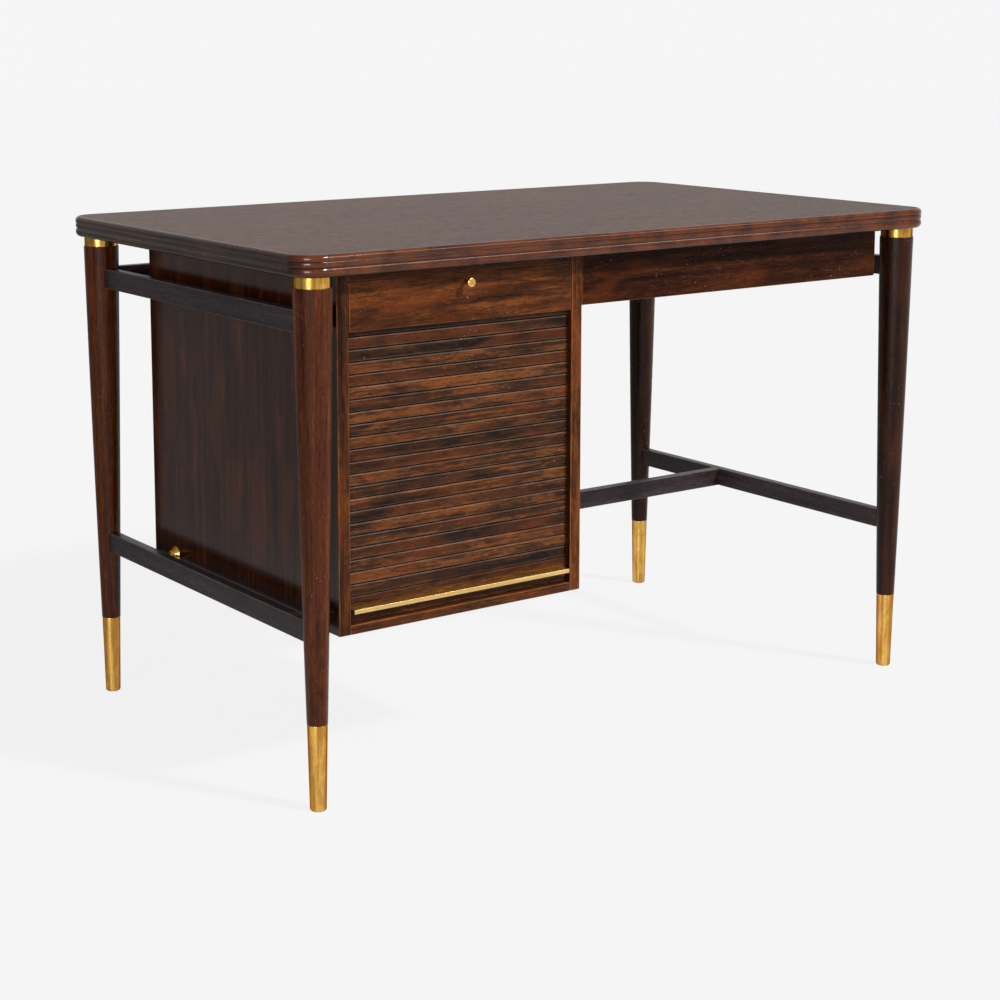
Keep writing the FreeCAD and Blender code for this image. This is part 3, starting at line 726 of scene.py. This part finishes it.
def reeded_top_tree(face_wood, moulding_wood):
    """A round-cornered top and underside joined by reeds swept round the edge."""
    tree, given, put = new_shape_tree("reeded_top", (
        ("Width", "Float"), ("Depth", "Float"), ("Underside", "Float"), ("Top", "Float"),
        ("Corner radius", "Float"), ("Edge in", "Float"), ("Steps", "Int"),
    ))
    both_edges = reckon(tree, "MULTIPLY", given["Edge in"], 2.0)
    plan = add(tree, "GeometryNodeCurvePrimitiveQuadrilateral", {
        "Width": reckon(tree, "SUBTRACT", given["Width"], both_edges),
        "Height": reckon(tree, "SUBTRACT", given["Depth"], both_edges),
    }).outputs[0]
    path = add(tree, "GeometryNodeFilletCurve", {
        "Curve": plan, "Radius": reckon(tree, "SUBTRACT", given["Corner radius"], given["Edge in"]),
        "Count": CORNER_STEPS,
    }, mode="POLY").outputs[0]
    high = vector(tree, 0.0, 0.0, given["Top"])
    low = vector(tree, 0.0, 0.0, given["Underside"])

    rim = add(tree, "GeometryNodeTransform", {"Geometry": path, "Translation": high}).outputs[0]
    section = add(tree, "GeometryNodeJoinGeometry")
    for points in REEDS:
        start, middle, end = [(out + EDGE_IN, down, 0.0) for out, down in points]
        reed = add(tree, "GeometryNodeCurveArc", {
            "Start": start, "Middle": middle, "End": end, "Resolution": given["Steps"],
        }, mode="POINTS").outputs[0]
        tree.links.new(reed, section.inputs[0])
    moulding = add(tree, "GeometryNodeCurveToMesh", {"Curve": rim, "Profile Curve": section.outputs[0]})
    edged = add(tree, "GeometryNodeSetMaterial", {
        "Geometry": moulding.outputs[0], "Material": moulding_wood,
    }).outputs[0]

    flat = add(tree, "GeometryNodeFillCurve", {"Curve": path}, mode="NGONS").outputs[0]
    upper = add(tree, "GeometryNodeTransform", {"Geometry": flat, "Translation": high}).outputs[0]
    lower = add(tree, "GeometryNodeTransform", {"Geometry": flat, "Translation": low}).outputs[0]
    panel = add(tree, "GeometryNodeJoinGeometry")
    tree.links.new(upper, panel.inputs[0])
    tree.links.new(add(tree, "GeometryNodeFlipFaces", {0: lower}).outputs[0], panel.inputs[0])
    faced = add(tree, "GeometryNodeSetMaterial", {
        "Geometry": panel.outputs[0], "Material": face_wood,
    }).outputs[0]

    whole = add(tree, "GeometryNodeJoinGeometry")
    tree.links.new(edged, whole.inputs[0])
    tree.links.new(faced, whole.inputs[0])
    closed = add(tree, "GeometryNodeMergeByDistance", {"Geometry": whole.outputs[0], "Distance": WELD})
    real = add(tree, "GeometryNodeRealizeInstances", {0: closed.outputs[0]}).outputs[0]
    tree.links.new(real, put["Geometry"])
    return tree


# The grooves between the reeds are painted dark: painted shade.
grooves_painted_dark(edge_wood, [top_high.z - end[1] for _, _, end in REEDS[:-1]], stain(8, 5, 4))
desktop = made_mesh("desktop_reeded", reeded_top_tree(top_wood, edge_wood), {
    "Width": top_high.x - top_low.x, "Depth": top_high.y - top_low.y,
    "Underside": top_low.z, "Top": top_high.z,
    "Corner radius": TOP_CORNER_RADIUS, "Edge in": EDGE_IN, "Steps": REED_STEPS,
})
stands_for(desktop, "desktop")


# Floor: a plain pale floor that keeps the desk's shadow. The camera sees it near white, and gloss sees
# it bright in front of the desk and dimmer behind it.

FLOOR_REACH = 30.0
FLOOR_SIDES = 96
PALE = (0.919, 0.919, 0.919, 1.0)
FLOOR_GREY = (0.35, 0.35, 0.35, 1.0)
CAMERA_STRENGTH = 1.1
CAMERA_SHARE = 0.85
BACK_LEFT = (-0.45, 0.89, 0.0)
GLOSS_REACH = (-0.5, 1.8)
GLOSS_STRENGTH = (0.8, 0.26)


def reach_toward(tree, point, direction):
    """How far a point lies in a direction."""
    product = add(tree, "ShaderNodeVectorMath", {0: point, 1: direction}, operation="DOT_PRODUCT")
    return product.outputs["Value"]


floor_mesh = bpy.data.meshes.new("floor")
floor_shape = bmesh.new()
bmesh.ops.create_circle(floor_shape, cap_ends=True, segments=FLOOR_SIDES, radius=FLOOR_REACH)
floor_shape.to_mesh(floor_mesh)
floor_shape.free()
floor = bpy.data.objects.new("floor", floor_mesh)
bpy.context.scene.collection.objects.link(floor)
floor_paint, paint, matt = new_finish("floor_paint")
matt.inputs["Base Color"].default_value = FLOOR_GREY
matt.inputs["Roughness"].default_value = 0.9
matt.inputs["Specular IOR Level"].default_value = 0.0
floor_rays = add(paint, "ShaderNodeLightPath").outputs
floor_spot = add(paint, "ShaderNodeTexCoord").outputs["Object"]
behind = reach_toward(paint, floor_spot, BACK_LEFT)
dimming = ramp(paint, behind, *GLOSS_REACH, *GLOSS_STRENGTH)
mirrored = reckon(paint, "MULTIPLY", floor_rays["Is Glossy Ray"], dimming)
strength = reckon(paint, "MULTIPLY_ADD", floor_rays["Is Camera Ray"], CAMERA_STRENGTH, mirrored)
pale_light = add(paint, "ShaderNodeEmission", {"Color": PALE, "Strength": strength}).outputs[0]
share = reckon(paint, "MULTIPLY_ADD", floor_rays["Is Camera Ray"], CAMERA_SHARE, floor_rays["Is Glossy Ray"])
seen_floor = add(paint, "ShaderNodeMixShader", {0: share, 1: matt.outputs[0], 2: pale_light}).outputs[0]
paint.links.new(seen_floor, paint.nodes["Material Output"].inputs[0])
floor_mesh.materials.append(floor_paint)


# Light: a pale room that gloss sees brighter at the back right, a lamp at the front right that draws the
# top's shadow, and a weaker one at the front left that picks out the corner of the top. A long strip lamp
# lays a thin shine along the reeds at the front.

ROOM_GREY = (0.2, 0.2, 0.2, 1.0)
BACK_RIGHT = (0.58, 0.81, 0.0)
TURN_REACH = (0.2, 0.9)
TURN_SHARE = (0.12, 0.68)
STRIP_PLACE = Vector((2.6, -3.35, 3.6))
STRIP_AIM = Vector((0.0, -0.35, 0.75))
STRIP_SIZE = (3.0, 0.3)

world = bpy.data.worlds.new("studio")
world.use_nodes = True
bpy.context.scene.world = world
sky = world.node_tree
sky.nodes.clear()
sky_rays = add(sky, "ShaderNodeLightPath").outputs
way = add(sky, "ShaderNodeTexCoord").outputs["Generated"]
brightening = ramp(sky, reach_toward(sky, way, BACK_RIGHT), *TURN_REACH, *TURN_SHARE)
half_seen = reckon(sky, "MULTIPLY", sky_rays["Is Glossy Ray"], brightening)
straight = reckon(sky, "MAXIMUM", sky_rays["Is Camera Ray"], sky_rays["Is Transmission Ray"])
seen = reckon(sky, "MAXIMUM", straight, half_seen)
room = add(sky, "ShaderNodeBackground", {"Color": ROOM_GREY, "Strength": 1.0}).outputs[0]
backdrop = add(sky, "ShaderNodeBackground", {"Color": PALE, "Strength": 1.0}).outputs[0]
mixed = add(sky, "ShaderNodeMixShader", {0: seen, 1: room, 2: backdrop}).outputs[0]
add(sky, "ShaderNodeOutputWorld", {0: mixed})


def hang(name, lamp, direction, place=(0.0, 0.0, 0.0)):
    """A lamp in its place, shining in a direction."""
    holder = bpy.data.objects.new(name, lamp)
    holder.location = place
    holder.rotation_euler = Vector(direction).to_track_quat("-Z", "Y").to_euler()
    bpy.context.scene.collection.objects.link(holder)


def far_lamp(name, direction, spread, strength):
    """A lamp so far off that it lights the whole floor evenly; spread is its width in degrees."""
    lamp = bpy.data.lights.new(name, "SUN")
    lamp.angle = math.radians(spread)
    lamp.energy = strength
    hang(name, lamp, direction)


far_lamp("front_right_lamp", (-0.385, 0.721, -0.663), spread=6.0, strength=3.6)
far_lamp("front_left_lamp", (0.78, 0.62, -0.17), spread=26.0, strength=1.7)
strip = bpy.data.lights.new("strip_lamp", "AREA")
strip.shape = "RECTANGLE"
strip.size, strip.size_y = STRIP_SIZE
strip.energy = 30.0
hang("strip_lamp", strip, STRIP_AIM - STRIP_PLACE, STRIP_PLACE)


# Camera: a long lens a little above the top, looking at the front left corner. Its view is shifted, to
# set the desk in the middle of the frame.

CAMERA_PLACE = (-1.9115, -2.5561, 1.0434)
CAMERA_YAW = math.radians(35.484)
CAMERA_PITCH = math.radians(8.8234)
CAMERA_ROLL = math.radians(-0.0342)
FOCAL_LENGTH = 74.13
FILM_WIDTH = 36.0
VIEW_SHIFT = (0.04, -0.16)

lens = bpy.data.cameras.new("camera")
lens.sensor_width = FILM_WIDTH
lens.lens = FOCAL_LENGTH
lens.shift_x, lens.shift_y = VIEW_SHIFT
camera = bpy.data.objects.new("camera", lens)
turn = Matrix.Rotation(-CAMERA_YAW, 4, "Z") @ Matrix.Rotation(math.pi / 2 - CAMERA_PITCH, 4, "X")
camera.matrix_world = Matrix.Translation(CAMERA_PLACE) @ turn @ Matrix.Rotation(CAMERA_ROLL, 4, "Z")
bpy.context.scene.collection.objects.link(camera)
bpy.context.scene.camera = camera
bpy.context.scene.view_settings.view_transform = "Standard"
